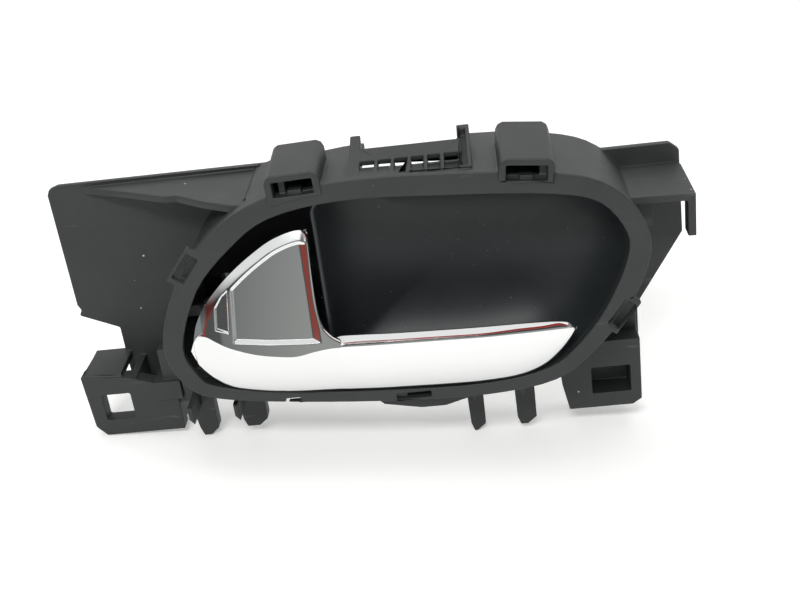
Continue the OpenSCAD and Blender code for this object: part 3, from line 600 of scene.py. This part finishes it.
# Finishes
black_grain = grained_polypropylene("spark-grained black polypropylene", "#222425", "#2f3232", 0.28, 0.10,
                                    0.5)
cup_plastic = satin_abs("satin blue-black ABS", "#1b1f22", "#262b2d", 0.52, 0.25)
carrier_plastic = satin_abs("satin black nylon", "#121314", "#1b1c1e", 0.5, 0.1)
chrome = plated_chrome("chrome plating on ABS")
pin_steel = drawn_steel("ground steel", "#9b9da0", "#c4c6c8", 0.28, 0.25)
spring_steel = drawn_steel("drawn spring steel", "#5f6265", "#8e9194", 0.34, 0.2)
zinc_steel = drawn_steel("zinc-plated steel", "#8b8c8a", "#b5b6b3", 0.38, 0.3)
bush_nylon = plain_moulding("natural acetal", "#cfcbbd", "#dcd9cd", 0.45, 1.48, 0.8)
bumper_rubber = plain_moulding("moulded rubber", "#0d0d0d", "#191919", 0.85, 1.52, 0.4)
turned_brass = drawn_steel("turned brass", "#a98a3c", "#cdb066", 0.3, 0.2)

# The CAD nodes, each with its finish and its edge radius in metres
for name, finish, radius in (
        ("housing", black_grain, 0.00045),
        ("lever_carrier", carrier_plastic, 0.0003),
        ("sheath_holder", carrier_plastic, 0.0004),
        ("rest_bumper", bumper_rubber, 0.0004),
        ("travel_bumper", bumper_rubber, 0.0004),
        ("shell_screws", zinc_steel, 0.00015),
        ("hinge_pin", pin_steel, 0.0002),
        ("pin_clip", spring_steel, 0.0001),
        ("hinge_bush_upper", bush_nylon, 0.00015),
        ("hinge_bush_lower", bush_nylon, 0.00015),
        ("cable_swivel", turned_brass, 0.0002)):
    soften(name, finish, radius)
# The spring's wire is round already
dress(NODES["return_spring"], spring_steel)
weld(NODES["return_spring"])
smooth(NODES["return_spring"], 80)
lever_skin()
finger_bowl()

# Camera: the photograph's angle, 368 mm from the ring's middle
yaw, pitch, roll = math.radians(5.0), math.radians(26.5), math.radians(-7.8)
seen = Matrix(((math.cos(roll), -math.sin(roll), 0), (math.sin(roll), math.cos(roll), 0), (0, 0, 1)))
seen = seen @ Matrix(((1, 0, 0), (0, math.cos(pitch), -math.sin(pitch)),
                      (0, math.sin(pitch), math.cos(pitch))))
seen = seen @ Matrix(((1, 0, 0), (0, 0, -1), (0, 1, 0)))
seen = seen @ Matrix(((math.cos(yaw), math.sin(yaw), 0), (-math.sin(yaw), math.cos(yaw), 0), (0, 0, 1)))
camera_data = bpy.data.cameras.new("camera")
camera_data.lens = 54.0
camera_data.sensor_width = 36.0
camera_data.clip_start = 0.01
camera = bpy.data.objects.new("camera", camera_data)
camera.matrix_world = Matrix((seen[0], -seen[1], -seen[2])).transposed().to_4x4()
camera.location = Vector((26.9, -329.4, 161.9)) * MM
bpy.context.scene.collection.objects.link(camera)
bpy.context.scene.camera = camera
bpy.context.scene.view_settings.view_transform = "Standard"

# Floor and backdrop: one white sweep that passes under the left tab and the longest prong
FLOOR_FALL = math.atan2(-11.0, 129.0)
FLOOR_POINT = Vector((17, 22, -66.3)) * MM
white, tree = start_material("white paper")
path = put(tree, "ShaderNodeLightPath")
shows = put(tree, "ShaderNodeMath", {0: path.outputs["Is Camera Ray"], 1: path.outputs["Is Glossy Ray"]},
            operation="MAXIMUM")
shows = put(tree, "ShaderNodeMath", {0: shows.outputs[0], 1: path.outputs["Is Transmission Ray"]},
            operation="MAXIMUM")
glow = put(tree, "ShaderNodeMath", {0: shows.outputs[0], 1: 0.30}, operation="MULTIPLY")
paper = put(tree, "ShaderNodeBsdfPrincipled",
            {"Base Color": linear("#f2f1ee"), "Roughness": 0.9, "Emission Color": WHITE,
             "Emission Strength": glow.outputs[0]})
put(tree, "ShaderNodeOutputMaterial", {"Surface": paper.outputs["BSDF"]})
sweep_profile = [(-1600, 0)] + [(550 + 450 * math.sin(math.radians(a)), 450 - 450 * math.cos(math.radians(a)))
                                for a in range(0, 91, 10)] + [(1000, 2200)]
sweep = sheet_piece("sweep", [[(x, y, z) for x in (-2200, -1100, 0, 1100, 2200)] for y, z in sweep_profile])
sweep.data.transform(Matrix.Translation(FLOOR_POINT) @ Matrix.Rotation(-FLOOR_FALL, 4, "Y"))
smooth(sweep)
dress(sweep, white)


def lamp(name, place, size, power):
    """A rectangular lamp that looks at the ring's middle."""
    data = bpy.data.lights.new(name, "AREA")
    data.shape = "RECTANGLE"
    data.size, data.size_y = size
    data.energy = power
    holder = bpy.data.objects.new(name, data)
    holder.location = place
    holder.rotation_euler = (-Vector(place)).to_track_quat("-Z", "Y").to_euler()
    bpy.context.scene.collection.objects.link(holder)


# Light: a broad lamp overhead, a soft one in front, a weak one at the right, and an even sky further down
lamp("ceiling light", (0.1, 0.25, 1.2), (1.3, 0.8), 7.0)
lamp("window light", (-0.12, -0.85, 0.86), (0.45, 0.2), 8.5)
lamp("room light", (0.9, -0.9, 0.35), (0.9, 0.7), 1.2)

# The room in front of the handle, seen only in the chrome: grey levels from the floor up, with upright bands
# laid over them, a red patch, a white window at the upper left and a white ceiling
ROOM_LEVELS = [
    (0.0, "#eceeea"), (0.03, "#d2d4d0"), (0.06, "#b4b6b3"), (0.10, "#9fa19f"), (0.16, "#979997"),
    (0.34, "#8b8e8d"), (0.44, "#4b4e50"), (0.56, "#303234"), (0.62, "#3a3c3e"), (0.66, "#8c8c8c"),
    (0.88, "#9a9a9a"), (0.93, "#ffffff"),
]
ROOM_BANDS = [
    (0.0, grey(0.7)), (0.04, (0.9, 0.2, 0.16, 1)), (0.20, (1.0, 0.22, 0.18, 1)), (0.23, grey(0.3)),
    (0.37, (0.34, 0.34, 0.35, 1)), (0.40, (0.7, 0.7, 0.71, 1)), (0.42, grey(0.95)),
    (0.44, (1.18, 1.18, 1.15, 1)), (0.60, (1.3, 1.3, 1.27, 1)), (0.76, grey(1.3)), (0.80, grey(2.4)),
    (1.0, grey(2.4)),
]
# What each fade runs along, where it begins and ends in metres, and its value there
ROOM_FADES = {
    "height": ("Z", -0.08, 1.0, 0.0, 1.0),
    "width": ("X", -1.0, 1.0, 0.0, 1.0),
    "above the floor": ("Z", 0.02, 0.10, 0.0, 1.0),
    "below the ceiling": ("Z", 0.93, 0.99, 1.0, 0.0),
    "over the window's sill": ("Z", 0.40, 0.46, 0.0, 1.0),
    "left of the window's side": ("X", -0.07, -0.12, 0.0, 1.0),
    "over the red patch's foot": ("Z", 0.60, 0.64, 0.0, 1.0),
    "under the red patch's head": ("Z", 0.86, 0.90, 1.0, 0.0),
    "redder to the right": ("X", -0.10, 0.02, 0.25, 1.0),
}
room, tree = start_material("room in front")
place = put(tree, "ShaderNodeTexCoord").outputs["Object"]
apart = put(tree, "ShaderNodeSeparateXYZ", {"Vector": place})
fade = {}
for name, (axis, begin, end, first, last) in ROOM_FADES.items():
    fade[name] = put(tree, "ShaderNodeMapRange",
                     {"Value": apart.outputs[axis], "From Min": begin, "From Max": end, "To Min": first,
                      "To Max": last}).outputs["Result"]
levels = put(tree, "ShaderNodeValToRGB", {"Fac": fade["height"]},
             [(part, linear(tone)) for part, tone in ROOM_LEVELS]).outputs["Color"]
bands = put(tree, "ShaderNodeValToRGB", {"Fac": fade["width"]}, ROOM_BANDS).outputs["Color"]
shares = []
for factors in (("above the floor", "below the ceiling"),
                ("over the red patch's foot", "under the red patch's head", "redder to the right"),
                ("over the window's sill", "left of the window's side")):
    share = fade[factors[0]]
    for factor in factors[1:]:
        share = put(tree, "ShaderNodeMath", {0: share, 1: fade[factor]}, operation="MULTIPLY").outputs[0]
    shares.append(share)
mixed = levels
for share, over, way in ((shares[0], bands, "MULTIPLY"), (shares[1], linear("#a03a34"), "MIX"),
                         (shares[2], linear("#f6f7f6"), "MIX")):
    mixed = put(tree, "ShaderNodeMix", {"Factor": share, "A": mixed, "B": over}, data_type="RGBA",
                blend_type=way).outputs["Result"]
seen_room = put(tree, "ShaderNodeEmission", {"Color": mixed, "Strength": 1.0})
put(tree, "ShaderNodeOutputMaterial", {"Surface": seen_room.outputs["Emission"]})
wall_profile = [(-600, -80), (-600, 300), (-600, 700), (-600, 1000), (100, 1000), (900, 1000)]
wall = sheet_piece("room_wall", [[(x, y, z) for x in (-1300, -400, 400, 1300)] for y, z in wall_profile])
dress(wall, room)
wall.visible_camera = False
wall.visible_diffuse = False
wall.visible_shadow = False
wall.visible_transmission = False

# The even sky
world = bpy.data.worlds.new("room")
world.use_nodes = True
world.node_tree.nodes.clear()
sky = put(world.node_tree, "ShaderNodeBackground", {"Color": linear("#dfe3e6"), "Strength": 0.36})
put(world.node_tree, "ShaderNodeOutputWorld", {"Surface": sky.outputs["Background"]})
bpy.context.scene.world = world
